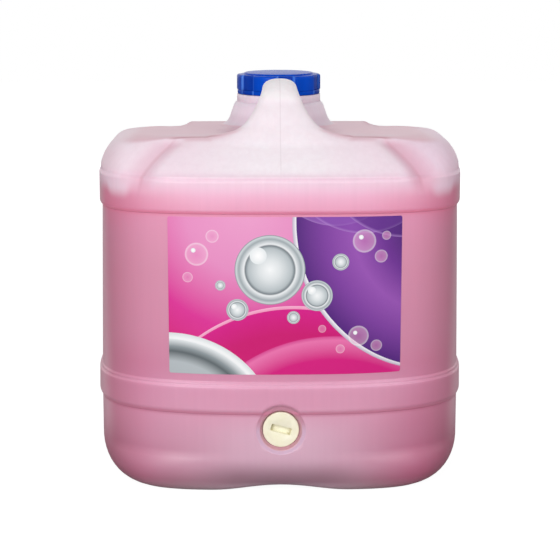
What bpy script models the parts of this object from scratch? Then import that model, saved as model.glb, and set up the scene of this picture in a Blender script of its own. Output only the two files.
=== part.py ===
"""A 15 litre translucent drum of hand wash, with a carrying handle, a screw cap and a coin-slot bung.

Metres, +Z up. The origin is on the floor at the middle of the drum, and the front, with the label and the
bung, faces -Y.
"""

import math

import bmesh
import bpy

for old in list(bpy.data.objects):
    bpy.data.objects.remove(old, do_unlink=True)

# Fits
CLEARANCE = 0.0003          # between pieces that touch
WALL = 0.0020               # blow-moulded wall
ROUND_STEPS = 48            # sides of a turned piece

# Drum outside: half sizes of the flat panel section at its top, and how far the rest stands out from it
HALF_WIDTH = 0.1420
HALF_DEPTH = 0.1255
DECK_HEIGHT = 0.2754        # front edge of the deck
SPREAD_X = 0.0038           # growth of the half sizes down to the lower band
SPREAD_Y = 0.0008
UPPER_BAND_OUT = 0.0022
LOWER_BAND_OUT = 0.0023
LOWER_BAND_FOOT = 0.0649
LOWER_BAND_HEIGHT = 0.0296
UPPER_BAND_HEIGHT = 0.0262
BAND_EDGE = 0.0040          # height of a band's sloping edge

# How far the wall curves under at the base, and how high the curve is
BASE_ROUND_X = 0.0272
BASE_ROUND_Y = 0.0176
BASE_HEIGHT = 0.0320

# Plan section: a superellipse with a power across the front face and one along the sides, and rounder low
# down where the liquid pushes the wall out
POWERS_TOP = (3.3, 5.0)
POWERS_LOW = (2.5, 4.0)
POWERS_DECK = (5.5, 5.5)
POWERS_BASE = (5.4, 3.9)

# Shoulder and deck
SHOULDER_RISE = 0.0274
SHOULDER_IN_X = 0.0180
SHOULDER_IN_Y = 0.0385
SPINE_HALF_WIDTH = 0.0790   # raised middle strip of the deck
SPINE_EDGE = 0.0070
SPINE_FALL = 0.0203         # slope down to the rear of the strip, and of the pads beside it
PAD_FALL = 0.0430
GROOVE_ANGLE = math.radians(43.3)
GROOVE_HALF_ANGLE = math.radians(3.2)
GROOVE_DEPTH = 0.0045
RECESS_DEPTH = 0.0110       # finger room sunk in the deck below the handle
RECESS_HALF_WIDTH = 0.0520

# Base channel between the two feet
CHANNEL_RISE = 0.0045
CHANNEL_HALF_WIDTH = 0.0550

# Neck, from the deck up
NECK_FROM_REAR = 0.0450     # axis in front of the deck's rear edge
NECK_RADIUS = 0.0280
NECK_WALL = 0.0035
NECK_FLARE = 0.0098         # how far the neck's foot spreads beyond the collar
NECK_FLARE_HEIGHT = 0.0178
NECK_COLLAR_OUT = 0.0072
NECK_COLLAR_HEIGHT = 0.0064

# Tamper ring, cap and liner
RING_HEIGHT = 0.0034
CAP_HEIGHT = 0.0136
CAP_TOP_THICKNESS = 0.0022
CAP_LUGS = 6
CAP_LUG_DEPTH = 0.0021
CAP_LUG_TURN = math.radians(24)     # from the front to the first lug
CAP_THREAD_ROOM = 0.0022    # between neck and skirt, where the threads mesh
CAP_DISC_IN = 0.0088        # edge of the raised disc, in from the skirt
CAP_DISC_RISE = 0.0008
LINER_THICKNESS = 0.0011

# Handle: half width of the grip, its thickness, and its top above the deck
HANDLE_RISE = 0.0421
HANDLE_THICKNESS = 0.0185
HANDLE_HALF_WIDTH = 0.0140

# Bung, sunk in a round flat on the front wall, and the boss behind it
BUNG_HEIGHT = 0.0523
BUNG_SHANK_RADIUS = 0.0104
BUNG_SHANK_LENGTH = 0.0120
BUNG_HEAD_OUT = 0.0038      # head beyond the shank
BUNG_HEAD_THICKNESS = 0.0032
THREAD_GAP = 0.0005         # round the shank
SEAL_THICKNESS = 0.0014
WELL_GAP = 0.0013           # round the head
FLAT_WIDTH = 0.0037         # of the flat round the well
FLAT_DEPTH = 0.0006         # below the wall
BUNG_DEPTH = 0.0025         # below the flat
BOSS_LENGTH = 0.0178
SLOT_LENGTH = 0.0160
SLOT_WIDTH = 0.0043
SLOT_DEPTH = 0.0022
SLOT_TILT = math.radians(15)

# Label on the front panel, and the liquid's surface above the upper band's foot
LABEL_GAP_BELOW = 0.0027
LABEL_GAP_ABOVE = 0.0018
LABEL_SIDE_MARGIN = 0.0525
LABEL_OFFSET_X = 0.0031
LABEL_THICKNESS = 0.0003
FILL_RISE = 0.0182

# Places that follow from the sizes
UPPER_BAND_TOP = DECK_HEIGHT - SHOULDER_RISE
UPPER_BAND_FOOT = UPPER_BAND_TOP - UPPER_BAND_HEIGHT
LOWER_BAND_TOP = LOWER_BAND_FOOT + LOWER_BAND_HEIGHT
DECK_HALF_WIDTH = HALF_WIDTH - SHOULDER_IN_X
DECK_HALF_DEPTH = HALF_DEPTH - SHOULDER_IN_Y
NECK_Y = DECK_HALF_DEPTH - NECK_FROM_REAR
NECK_BORE = NECK_RADIUS - NECK_WALL
NECK_COLLAR_RADIUS = NECK_RADIUS + NECK_COLLAR_OUT
FLARE_RADIUS = NECK_COLLAR_RADIUS + NECK_FLARE
NECK_COLLAR_FOOT = DECK_HEIGHT + NECK_FLARE_HEIGHT
NECK_COLLAR_TOP = NECK_COLLAR_FOOT + NECK_COLLAR_HEIGHT
RING_FOOT = NECK_COLLAR_TOP + CLEARANCE
CAP_FOOT = RING_FOOT + RING_HEIGHT + CLEARANCE
CAP_TOP = CAP_FOOT + CAP_HEIGHT
CAP_CEILING = CAP_TOP - CAP_TOP_THICKNESS
LINER_TOP = CAP_CEILING - CLEARANCE
NECK_LIP_HEIGHT = LINER_TOP - LINER_THICKNESS - CLEARANCE
SKIRT_INSIDE = NECK_RADIUS + CAP_THREAD_ROOM
SKIRT_OUTSIDE = NECK_COLLAR_RADIUS - CAP_LUG_DEPTH
CAP_DISC_RADIUS = SKIRT_OUTSIDE - CAP_DISC_IN
HANDLE_FRONT_Y = -DECK_HALF_DEPTH + 0.0010
BUNG_HEAD_RADIUS = BUNG_SHANK_RADIUS + BUNG_HEAD_OUT
WELL_RADIUS = BUNG_HEAD_RADIUS + WELL_GAP
FLAT_RADIUS = WELL_RADIUS + FLAT_WIDTH
BOSS_RADIUS = FLAT_RADIUS + WALL
FLAT_Y = -(HALF_DEPTH + SPREAD_Y) + FLAT_DEPTH
BOSS_END_Y = FLAT_Y + BOSS_LENGTH
BUNG_FACE_Y = FLAT_Y + BUNG_DEPTH
SEAL_FACE_Y = BUNG_FACE_Y + BUNG_HEAD_THICKNESS + CLEARANCE
WELL_FLOOR_Y = SEAL_FACE_Y + SEAL_THICKNESS + CLEARANCE
BUNG_PLACE = (0, BUNG_FACE_Y, BUNG_HEIGHT)
LABEL_FOOT = LOWER_BAND_TOP + LABEL_GAP_BELOW
LABEL_HEIGHT = UPPER_BAND_FOOT - LABEL_GAP_ABOVE - LABEL_FOOT
LABEL_WIDTH = 2 * (HALF_WIDTH - LABEL_SIDE_MARGIN)
FILL_HEIGHT = UPPER_BAND_FOOT + FILL_RISE


def smoothstep(low, high, value):
    t = min(max((value - low) / (high - low), 0.0), 1.0)
    return t * t * (3 - 2 * t)


# Finishes

def finish(name, colour, roughness, metallic=0.0):
    made = bpy.data.materials.new(name)
    made.use_nodes = True
    shader = made.node_tree.nodes["Principled BSDF"]
    shader.inputs["Base Color"].default_value = (*colour, 1.0)
    shader.inputs["Roughness"].default_value = roughness
    shader.inputs["Metallic"].default_value = metallic
    return made


NATURAL_HDPE = finish("natural_hdpe", (0.78, 0.62, 0.69), 0.38)
PINK_LIQUID = finish("pink_liquid", (0.66, 0.23, 0.36), 0.15)
BLUE_PLASTIC = finish("blue_polypropylene", (0.0, 0.06, 0.44), 0.32)
WHITE_FOAM = finish("white_foam", (0.85, 0.85, 0.83), 0.70)
CREAM_PLASTIC = finish("cream_plastic", (0.95, 0.89, 0.66), 0.36)
BLACK_RUBBER = finish("black_rubber", (0.03, 0.03, 0.03), 0.65)
LABEL_FILM = finish("printed_film", (0.66, 0.07, 0.31), 0.25)


# Mesh helpers

def object_from(name, mesh, material=None, location=(0, 0, 0)):
    made = bpy.data.objects.new(name, mesh)
    bpy.context.scene.collection.objects.link(made)
    made.location = location
    if material is None:
        made.hide_render = True
        made.display_type = 'WIRE'
    else:
        mesh.materials.append(material)
    return made


def mesh_from(name, mesh_data):
    """Closes a bmesh: normals out, tiny edges merged, smooth with sharp edges kept."""
    bmesh.ops.remove_doubles(mesh_data, verts=mesh_data.verts, dist=0.00002)
    bmesh.ops.recalc_face_normals(mesh_data, faces=mesh_data.faces)
    mesh = bpy.data.meshes.new(name)
    mesh_data.to_mesh(mesh)
    mesh_data.free()
    mesh.shade_smooth()
    mesh.set_sharp_from_angle(angle=math.radians(35))
    return mesh


def loft(name, rings):
    """A closed skin through rings of points; the first and last rings are closed by a flat or fanned cap."""
    work = bmesh.new()
    loops = [[work.verts.new(point) for point in ring] for ring in rings]
    for lower, upper in zip(loops, loops[1:]):
        count = len(lower)
        for i in range(count):
            j = (i + 1) % count
            work.faces.new((lower[i], lower[j], upper[j], upper[i]))
    work.faces.new(list(reversed(loops[0])))
    work.faces.new(loops[-1])
    bmesh.ops.triangulate(work, faces=work.faces)
    return mesh_from(name, work)


def turned(name, profile, steps=ROUND_STEPS, axis=(0, 0, 1)):
    """Turns an outline of (radius, height) points round the Z axis or the -Y axis.

    A first and last radius of 0 stands for a flat end, which is closed by one face.
    """
    work = bmesh.new()
    along_z = axis[2] == 1
    points = [(r, 0, h) if along_z else (r, -h, 0) for r, h in profile if r > 0]
    verts = [work.verts.new(p) for p in points]
    pairs = list(zip(verts, verts[1:]))
    solid = profile[0][0] == 0
    if not solid:
        pairs.append((verts[-1], verts[0]))
    edges = [work.edges.new(pair) for pair in pairs]
    bmesh.ops.spin(work, geom=edges, cent=(0, 0, 0), axis=axis, angle=math.tau, steps=steps, use_merge=True)
    if solid:
        bmesh.ops.holes_fill(work, edges=work.edges, sides=0)
    return mesh_from(name, work)


def boolean(target, tool, operation):
    step = target.modifiers.new(operation.lower() + "_" + tool.name, 'BOOLEAN')
    step.operation = operation
    step.solver = 'EXACT'
    step.object = tool


# Drum body: rings of points round the wall, from under the base up to the deck

QUADRANT = [0, 9, 18, 27, 34, 38.5, 43.3, 48.1, 53, 58, 63, 69, 75, 82]


def columns():
    """Angles round the drum from the front centre, with one column in each corner groove."""
    first = [math.radians(a) for a in QUADRANT]
    half = first + [math.pi / 2] + [math.pi - a for a in reversed(first[1:])]
    return half + [math.pi] + [math.tau - a for a in reversed(half[1:])]


def section_radius(angle, half_x, half_y, powers):
    """How far out the wall is at an angle, found by halving a range."""
    across = abs(math.sin(angle)) / half_x
    along = abs(math.cos(angle)) / half_y
    low, high = 0.0, half_x + half_y
    for _ in range(40):
        middle = (low + high) / 2
        if (across * middle) ** powers[0] + (along * middle) ** powers[1] < 1:
            low = middle
        else:
            high = middle
    return low


def between(start, end, share):
    return tuple(a + (b - a) * share for a, b in zip(start, end))


def panel_share(height):
    """0 at the lower band and 1 at the upper band."""
    return min(max((height - LOWER_BAND_FOOT) / (UPPER_BAND_FOOT - LOWER_BAND_FOOT), 0.0), 1.0)


def panel_section(height):
    """Half width, half depth and powers of the plain wall at a height."""
    low = 1 - panel_share(height)
    powers = between(POWERS_TOP, POWERS_LOW, low)
    return HALF_WIDTH + SPREAD_X * low, HALF_DEPTH + SPREAD_Y * low, powers


def arc_in(up, turn):
    """Part of an arc that starts upright at 0 and ends at 1, leaning over further the nearer turn is to 1."""
    return (1 - math.sqrt(1 - (turn * up) ** 2)) / (1 - math.sqrt(1 - turn ** 2))


def groove_share(angle):
    """1 in the bottom of a corner groove and 0 beside it."""
    folded = abs(math.atan2(abs(math.sin(angle)), abs(math.cos(angle))) - GROOVE_ANGLE)
    return max(0.0, 1 - folded / GROOVE_HALF_ANGLE)


def deck_drop(x, y, share):
    """How far the deck lies below its front edge: its slope to the rear, the pads and the finger recess."""
    pad = smoothstep(SPINE_HALF_WIDTH - SPINE_EDGE / 2, SPINE_HALF_WIDTH + SPINE_EDGE / 2, abs(x))
    slope = SPINE_FALL + (PAD_FALL - SPINE_FALL) * pad
    return share * slope * (y + DECK_HALF_DEPTH)


def recess(x, y):
    front = HANDLE_FRONT_Y + HANDLE_THICKNESS
    rear = NECK_Y - FLARE_RADIUS
    along = (y - (front + rear) / 2) / ((rear - front) / 2)
    across = x / RECESS_HALF_WIDTH
    if abs(along) >= 1 or abs(across) >= 1:
        return 0.0
    return RECESS_DEPTH * math.cos(along * math.pi / 2) ** 0.7 * math.cos(across * math.pi / 2)


def channel(x):
    if abs(x) >= CHANNEL_HALF_WIDTH:
        return 0.0
    return CHANNEL_RISE * (0.5 + 0.5 * math.cos(math.pi * x / CHANNEL_HALF_WIDTH))


def wall_levels():
    """Rows of height, half sizes, powers, groove depth and deck share, going up."""
    base_x, base_y, powers = panel_section(0.0)
    rows = []
    foot_x = base_x - BASE_ROUND_X
    foot_y = base_y - BASE_ROUND_Y
    for share in (0.30, 0.55, 0.80):
        rows.append((0.0, foot_x * share, foot_y * share, POWERS_BASE, 0, 0))
    for step in range(6):
        turn = math.radians(90 * step / 6)
        rise = 1 - math.cos(turn)
        half_x = foot_x + BASE_ROUND_X * math.sin(turn)
        half_y = foot_y + BASE_ROUND_Y * math.sin(turn)
        rows.append((BASE_HEIGHT * rise, half_x, half_y, between(POWERS_BASE, powers, rise), 0, 0))
    sides = [
        (BASE_HEIGHT, 0.0),
        (LOWER_BAND_FOOT, 0.0),
        (LOWER_BAND_FOOT + BAND_EDGE, LOWER_BAND_OUT),
        (LOWER_BAND_TOP - 2 * BAND_EDGE, LOWER_BAND_OUT),
        (LOWER_BAND_TOP, 0.0),
        ((LOWER_BAND_TOP + UPPER_BAND_FOOT) / 2, 0.0),
        (UPPER_BAND_FOOT, 0.0),
        (UPPER_BAND_FOOT + BAND_EDGE, UPPER_BAND_OUT),
        (UPPER_BAND_TOP - BAND_EDGE, UPPER_BAND_OUT),
    ]
    for height, out in sides:
        half_x, half_y, powers = panel_section(height)
        rows.append((height, half_x + out, half_y + out, powers, 0, 0))
    for up in (0.10, 0.35, 0.60, 0.82, 1.0):
        half_x = HALF_WIDTH - SHOULDER_IN_X * arc_in(up, 0.90)
        half_y = HALF_DEPTH - SHOULDER_IN_Y * up ** 1.1
        powers = between(POWERS_TOP, POWERS_DECK, up)
        depth = GROOVE_DEPTH * math.sin(math.pi * 0.92 * up) ** 0.9
        rows.append((UPPER_BAND_TOP + SHOULDER_RISE * up, half_x, half_y, powers, depth, up ** 3))
    for share in (0.90, 0.75, 0.60, 0.45, 0.30, 0.15, 0.04):
        powers = between((2.0, 2.0), POWERS_DECK, share)
        rows.append((DECK_HEIGHT, DECK_HALF_WIDTH * share, DECK_HALF_DEPTH * share, powers, 0, 1))
    return rows


def drum_rings(inset, top=None):
    """The drum's rings, all moved in from the outside by a wall; top cuts them off flat at a height."""
    rows = wall_levels()
    rings = []
    angles = columns()
    for index, (height, half_x, half_y, powers, groove, deck) in enumerate(rows):
        before = rows[max(index - 1, 0)]
        after = rows[min(index + 1, len(rows) - 1)]
        run = (after[1] - before[1] + after[2] - before[2]) / 2
        rise = after[0] - before[0]
        length = math.hypot(run, rise)
        out, up = rise / length, -run / length
        if height == 0.0 and before[0] == 0.0 and after[0] == 0.0:
            out, up = 0.0, -1.0
        ring = []
        for angle in angles:
            radius = section_radius(angle, half_x - inset * out, half_y - inset * out, powers)
            radius -= groove * groove_share(angle)
            x = radius * math.sin(angle)
            y = -radius * math.cos(angle)
            z = height - inset * up - deck_drop(x, y, deck) - groove * 0.5 * groove_share(angle)
            if deck == 1:
                z -= recess(x, y)
            if height < BASE_HEIGHT:
                z += channel(x) * (1 - height / BASE_HEIGHT) ** 2
            ring.append((x, y, z))
        rings.append(ring)
    if top is None:
        return rings
    kept = [ring for ring in rings if max(p[2] for p in ring) < top]
    last, beyond = rings[len(kept) - 1], rings[len(kept)]
    lid = []
    for (x0, y0, z0), (x1, y1, z1) in zip(last, beyond):
        share = (top - z0) / (z1 - z0)
        lid.append((x0 + (x1 - x0) * share, y0 + (y1 - y0) * share, top))
    return kept + [lid]


# Handle: a bent tube from the front edge of the deck over to the neck

def handle_rings(inset):
    """Sections across the handle from its front root to its root in the neck."""
    half = HANDLE_THICKNESS / 2
    climb = HANDLE_RISE - half
    span = NECK_Y - NECK_COLLAR_RADIUS - HANDLE_FRONT_Y
    wide = HANDLE_HALF_WIDTH
    stations = [
        (0.02, -0.35, wide + 0.0260), (0.08, -0.06, wide + 0.0260), (0.13, 0.19, wide + 0.0165),
        (0.20, 0.48, wide + 0.0085), (0.30, 0.77, wide + 0.0032), (0.42, 0.93, wide + 0.0008),
        (0.54, 1.00, wide), (0.66, 0.98, wide), (0.776, 0.85, wide), (0.857, 0.64, wide + 0.0008),
        (0.916, 0.40, wide + 0.0014), (0.970, 0.15, wide + 0.0022),
    ]
    spine = [(HANDLE_FRONT_Y + span * along, DECK_HEIGHT + climb * up, w) for along, up, w in stations]
    rings = []
    for index, (y, z, half_width) in enumerate(spine):
        y0, z0, _ = spine[max(index - 1, 0)]
        y1, z1, _ = spine[min(index + 1, len(spine) - 1)]
        length = math.hypot(y1 - y0, z1 - z0)
        along_y, along_z = (y1 - y0) / length, (z1 - z0) / length
        ring = []
        for side in range(16):
            turn = math.tau * side / 16
            across = math.copysign(abs(math.sin(turn)) ** 0.8, math.sin(turn)) * (half_width - inset)
            through = math.copysign(abs(math.cos(turn)) ** 0.8, math.cos(turn)) * (half - inset)
            ring.append((across, y - along_z * through, z + along_y * through))
        rings.append(ring)
    return rings


# Neck: the flare up from the deck, the collar below the cap and the tube that the cap screws on

def neck_outside():
    flare = [
        (0.0, DECK_HEIGHT - 0.0130), (FLARE_RADIUS - 0.0010, DECK_HEIGHT - 0.0130),
        (FLARE_RADIUS, DECK_HEIGHT - 0.0020),
    ]
    for up, inward in ((0.05, 0.06), (0.25, 0.30), (0.50, 0.52), (0.75, 0.66), (0.92, 0.80), (1.0, 0.92)):
        flare.append((FLARE_RADIUS - NECK_FLARE * inward, DECK_HEIGHT + NECK_FLARE_HEIGHT * up))
    return flare + [
        (NECK_COLLAR_RADIUS, NECK_COLLAR_FOOT + 0.0006), (NECK_COLLAR_RADIUS, NECK_COLLAR_TOP),
        (NECK_RADIUS, NECK_COLLAR_TOP), (NECK_RADIUS, NECK_LIP_HEIGHT), (0.0, NECK_LIP_HEIGHT),
    ]


def neck_inside():
    return [
        (0.0, DECK_HEIGHT - 0.0160), (FLARE_RADIUS - 2 * WALL, DECK_HEIGHT - 0.0160),
        (FLARE_RADIUS - 2 * WALL, DECK_HEIGHT - 0.0010),
        (FLARE_RADIUS - 0.0060 - WALL, DECK_HEIGHT + 0.0080),
        (NECK_COLLAR_RADIUS - WALL, NECK_COLLAR_FOOT - 0.0020),
        (NECK_COLLAR_RADIUS - WALL, NECK_COLLAR_TOP - WALL),
        (NECK_BORE, NECK_COLLAR_TOP - WALL), (NECK_BORE, NECK_LIP_HEIGHT + 0.0050),
        (0.0, NECK_LIP_HEIGHT + 0.0050),
    ]


# Drum with the bung's boss, well and bore

def rod(name, *spans):
    """A rod along the bung's axis, from spans of (radius, rear y, front y) going forward."""
    profile = [(0, -spans[0][1])]
    for radius, rear_y, front_y in spans:
        profile += [(radius, -rear_y), (radius, -front_y)]
    profile.append((0, -spans[-1][2]))
    return object_from(name, turned(name, profile, ROUND_STEPS, (0, -1, 0)), None, (0, 0, BUNG_HEIGHT))


def build_drum():
    """The outer form, less one form for all the hollow inside."""
    inner = object_from("cavity", loft("cavity", drum_rings(WALL)))
    inner_steps = [
        ('DIFFERENCE', rod("boss_inside", (BOSS_RADIUS, BOSS_END_Y, FLAT_Y - 0.0100))),
        ('UNION', rod("bore", (BUNG_SHANK_RADIUS + THREAD_GAP, BOSS_END_Y + 0.0100, WELL_FLOOR_Y - 0.0010))),
        ('UNION', object_from("handle_hollow", loft("handle_hollow", handle_rings(WALL)))),
        ('UNION', object_from("neck_hollow", turned("neck_hollow", neck_inside()), None, (0, NECK_Y, 0))),
    ]
    for operation, tool in inner_steps:
        boolean(inner, tool, operation)

    drum = object_from("drum_body", loft("drum_body", drum_rings(0)), NATURAL_HDPE)
    well = rod("well", (WELL_RADIUS, WELL_FLOOR_Y, FLAT_Y), (FLAT_RADIUS, FLAT_Y, FLAT_Y - 0.0100))
    outer_steps = [
        ('DIFFERENCE', well),
        ('UNION', object_from("handle_outside", loft("handle_outside", handle_rings(0)))),
        ('UNION', object_from("neck_outside", turned("neck_outside", neck_outside()), None, (0, NECK_Y, 0))),
        ('DIFFERENCE', inner),
    ]
    for operation, tool in outer_steps:
        boolean(drum, tool, operation)


def build_liquid():
    skin = loft("hand_wash", drum_rings(WALL + CLEARANCE, FILL_HEIGHT))
    liquid = object_from("hand_wash", skin, PINK_LIQUID)
    boss_room = rod("boss_room", (BOSS_RADIUS + CLEARANCE, BOSS_END_Y + CLEARANCE, FLAT_Y - 0.0100))
    boolean(liquid, boss_room, 'DIFFERENCE')


def build_label():
    """A thin sheet bent to the front panel, from the panel's own section."""
    rows = 7
    steps = 16
    outer, inner = [], []
    for row in range(rows):
        z = LABEL_FOOT + LABEL_HEIGHT * row / (rows - 1)
        half_x, half_y, powers = panel_section(z)
        for step in range(steps):
            x = LABEL_OFFSET_X + LABEL_WIDTH * (step / (steps - 1) - 0.5)
            y = -half_y * (1 - (abs(x) / half_x) ** powers[0]) ** (1 / powers[1])
            inner.append((x, y - 2 * CLEARANCE, z))
            outer.append((x, y - 2 * CLEARANCE - LABEL_THICKNESS, z))
    work = bmesh.new()
    backs = [work.verts.new(p) for p in inner]
    fronts = [work.verts.new(p) for p in outer]
    for row in range(rows - 1):
        for step in range(steps - 1):
            a = row * steps + step
            corners = (a, a + 1, a + steps + 1, a + steps)
            work.faces.new([fronts[i] for i in corners])
            work.faces.new([backs[i] for i in reversed(corners)])
    border = [step for step in range(steps)]
    border += [row * steps + steps - 1 for row in range(1, rows)]
    border += [(rows - 1) * steps + step for step in range(steps - 2, -1, -1)]
    border += [row * steps for row in range(rows - 2, 0, -1)]
    for a, b in zip(border, border[1:] + border[:1]):
        work.faces.new((fronts[a], backs[a], backs[b], fronts[b]))
    object_from("front_label", mesh_from("front_label", work), LABEL_FILM)


# Cap, liner and tamper ring, on the neck's axis

def lug_ring(radius, height, depth):
    """A ring of points round the skirt, out by depth on each wide lug."""
    ring = []
    outs = [(0, 0), (0.05, 1), (0.16, 1), (0.27, 1), (0.38, 1), (0.49, 1), (0.60, 1), (0.65, 0), (0.77, 0)]
    for lug in range(CAP_LUGS):
        for share, out in outs:
            turn = math.tau * (lug + share) / CAP_LUGS + CAP_LUG_TURN
            reach = radius + depth * out
            ring.append((reach * math.sin(turn), -reach * math.cos(turn), height))
    return ring


def build_cap():
    low = CAP_FOOT - CAP_TOP
    rings = [
        lug_ring(SKIRT_INSIDE, CAP_CEILING - CAP_TOP, 0),
        lug_ring(SKIRT_INSIDE, low, 0),
        lug_ring(SKIRT_OUTSIDE - 0.0004, low, CAP_LUG_DEPTH),
        lug_ring(SKIRT_OUTSIDE, low + 0.0008, CAP_LUG_DEPTH),
        lug_ring(SKIRT_OUTSIDE, -CAP_DISC_RISE - 0.0014, CAP_LUG_DEPTH),
        lug_ring(SKIRT_OUTSIDE - 0.0012, -CAP_DISC_RISE, CAP_LUG_DEPTH - 0.0004),
        lug_ring(CAP_DISC_RADIUS + 0.0010, -CAP_DISC_RISE, 0),
        lug_ring(CAP_DISC_RADIUS, 0, 0),
    ]
    object_from("screw_cap", loft("screw_cap", rings), BLUE_PLASTIC, (0, NECK_Y, CAP_TOP))


def build_liner():
    radius = SKIRT_INSIDE - 0.0008
    profile = [(0, -LINER_THICKNESS), (radius, -LINER_THICKNESS), (radius, 0), (0, 0)]
    object_from("cap_liner", turned("cap_liner", profile), WHITE_FOAM, (0, NECK_Y, LINER_TOP))


def build_tamper_ring():
    inside = NECK_RADIUS + 0.0010
    outside = NECK_COLLAR_RADIUS - 0.0002
    profile = [
        (inside, 0), (outside - 0.0006, 0), (outside, 0.0006), (outside, RING_HEIGHT), (inside, RING_HEIGHT),
    ]
    object_from("tamper_ring", turned("tamper_ring", profile), BLUE_PLASTIC, (0, NECK_Y, RING_FOOT))


# Bung and seal, on the boss's axis; heights of their outlines grow towards the front

def build_bung():
    back = -BUNG_HEAD_THICKNESS
    tip = back - BUNG_SHANK_LENGTH
    profile = [
        (0, tip), (BUNG_SHANK_RADIUS - 0.0010, tip), (BUNG_SHANK_RADIUS, tip + 0.0010),
        (BUNG_SHANK_RADIUS, back), (BUNG_HEAD_RADIUS, back), (BUNG_HEAD_RADIUS, -0.0007),
        (BUNG_HEAD_RADIUS - 0.0007, 0), (0, 0),
    ]
    bung = object_from("bung", turned("bung", profile, ROUND_STEPS, (0, -1, 0)), CREAM_PLASTIC, BUNG_PLACE)
    work = bmesh.new()
    bmesh.ops.create_cube(work, size=1)
    for vert in work.verts:
        vert.co.x *= SLOT_LENGTH
        vert.co.y *= 2 * SLOT_DEPTH
        vert.co.z *= SLOT_WIDTH
    slot = object_from("slot", mesh_from("slot", work), None, BUNG_PLACE)
    slot.rotation_euler = (0, SLOT_TILT, 0)
    boolean(bung, slot, 'DIFFERENCE')


def build_bung_seal():
    inside = BUNG_SHANK_RADIUS + CLEARANCE
    outside = BUNG_HEAD_RADIUS - 0.0004
    profile = [(inside, -SEAL_THICKNESS), (outside, -SEAL_THICKNESS), (outside, 0), (inside, 0)]
    mesh = turned("bung_seal", profile, ROUND_STEPS, (0, -1, 0))
    object_from("bung_seal", mesh, BLACK_RUBBER, (0, SEAL_FACE_Y, BUNG_HEIGHT))


build_drum()
build_liquid()
build_label()
build_cap()
build_liner()
build_tamper_ring()
build_bung()
build_bung_seal()
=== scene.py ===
"""A 15 litre blow-moulded drum of pink hand wash, with a carrying handle, a screw cap, a coin-slot bung and a
printed label, on a white floor under soft studio light.

Metres, +Z up. The origin is on the floor at the middle of the drum, and the front faces -Y.
"""

import math

import bmesh
import bpy
import numpy as np
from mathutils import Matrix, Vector, geometry


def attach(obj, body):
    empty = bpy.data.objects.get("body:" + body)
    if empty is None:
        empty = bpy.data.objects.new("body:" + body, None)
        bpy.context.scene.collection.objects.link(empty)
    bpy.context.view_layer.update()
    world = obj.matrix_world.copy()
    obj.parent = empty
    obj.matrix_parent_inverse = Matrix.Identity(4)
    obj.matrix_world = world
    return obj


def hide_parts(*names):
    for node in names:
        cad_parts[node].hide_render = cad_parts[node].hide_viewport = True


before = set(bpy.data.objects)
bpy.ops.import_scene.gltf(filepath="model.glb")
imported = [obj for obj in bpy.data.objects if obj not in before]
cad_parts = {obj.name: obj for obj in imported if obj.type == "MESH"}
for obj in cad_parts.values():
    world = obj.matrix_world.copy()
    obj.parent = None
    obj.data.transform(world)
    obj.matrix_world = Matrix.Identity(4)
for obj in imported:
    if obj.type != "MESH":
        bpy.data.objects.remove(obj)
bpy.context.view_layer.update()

MM = 0.001


# Camera: at the photograph's distance, a little above the drum and a hair to the left of its middle. Its frame
# is square, and its focal length is given in pixels of that frame.

AIM = Vector((0, 0, 147 * MM))
CAMERA_DISTANCE = 1446 * MM
CAMERA_ELEVATION = math.radians(11)
CAMERA_AZIMUTH = math.radians(-0.65)
FRAME_PX = 560
FOCAL_PX = 1727
AXIS_PX = 279.15            # where the drum's middle stands in the frame
SENSOR_MM = 36

camera_data = bpy.data.cameras.new("camera")
camera_data.sensor_width = SENSOR_MM
camera_data.lens = FOCAL_PX / FRAME_PX * SENSOR_MM
camera_data.shift_x = (FRAME_PX / 2 - AXIS_PX) / FRAME_PX
camera = bpy.data.objects.new("camera", camera_data)
bpy.context.scene.collection.objects.link(camera)
towards_camera = Vector((
    math.sin(CAMERA_AZIMUTH) * math.cos(CAMERA_ELEVATION),
    -math.cos(CAMERA_AZIMUTH) * math.cos(CAMERA_ELEVATION),
    math.sin(CAMERA_ELEVATION),
))
camera.location = AIM + towards_camera * CAMERA_DISTANCE
camera.rotation_mode = 'QUATERNION'
camera.rotation_quaternion = towards_camera.to_track_quat('Z', 'Y')
bpy.context.scene.camera = camera


# Drum body: natural high-density polyethylene, blown in one piece with its hollow handle, its neck and the boss
# for the bung. Two raised bands stiffen the wall, and a groove runs down each corner of the shoulder.

WALL = 2.0 * MM
HALF_WIDTH = 142.0 * MM
HALF_DEPTH = 125.5 * MM
SPREAD_X = 3.8 * MM
SPREAD_Y = 0.8 * MM
BASE_ROUND_X = 27.2 * MM
BASE_ROUND_Y = 15.6 * MM
BASE_HEIGHT = 32.0 * MM
CHANNEL_RISE = 4.4 * MM
CHANNEL_HALF_WIDTH = 55.0 * MM
LOWER_BAND_FOOT = 64.9 * MM
LOWER_BAND_OUT = 2.27 * MM
LOWER_BAND_NOSE = 4.6 * MM
UPPER_BAND_FOOT = 221.8 * MM
UPPER_BAND_OUT = 2.2 * MM
UPPER_BAND_NOSE = 3.4 * MM
LOWER_BAND_STEPS = ((86.6, 88.6, 0.55), (89.7, 91.3, 0.45))     # from, to, and share of the band that ends there
UPPER_BAND_STEPS = ((246.2, 248.2, 0.5), (248.8, 252.4, 0.5))
UPPER_BAND_FADE = ((247.0, 250.5, 0.6), (250.0, 266.0, 0.4))    # round the corners and the sides
SHOULDER_FOOT = 250.0 * MM
DECK_HEIGHT = 277.2 * MM
SHOULDER_RISE = DECK_HEIGHT - SHOULDER_FOOT
SHOULDER_IN_X = 21.0 * MM
SHOULDER_IN_Y = 38.5 * MM
DECK_HALF_DEPTH = HALF_DEPTH - SHOULDER_IN_Y
EDGE_ROUND = 4.5 * MM       # where the shoulder turns into the deck: tight on the front and wide at the sides
SIDE_EDGE_ROUND = 8.0 * MM
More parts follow.
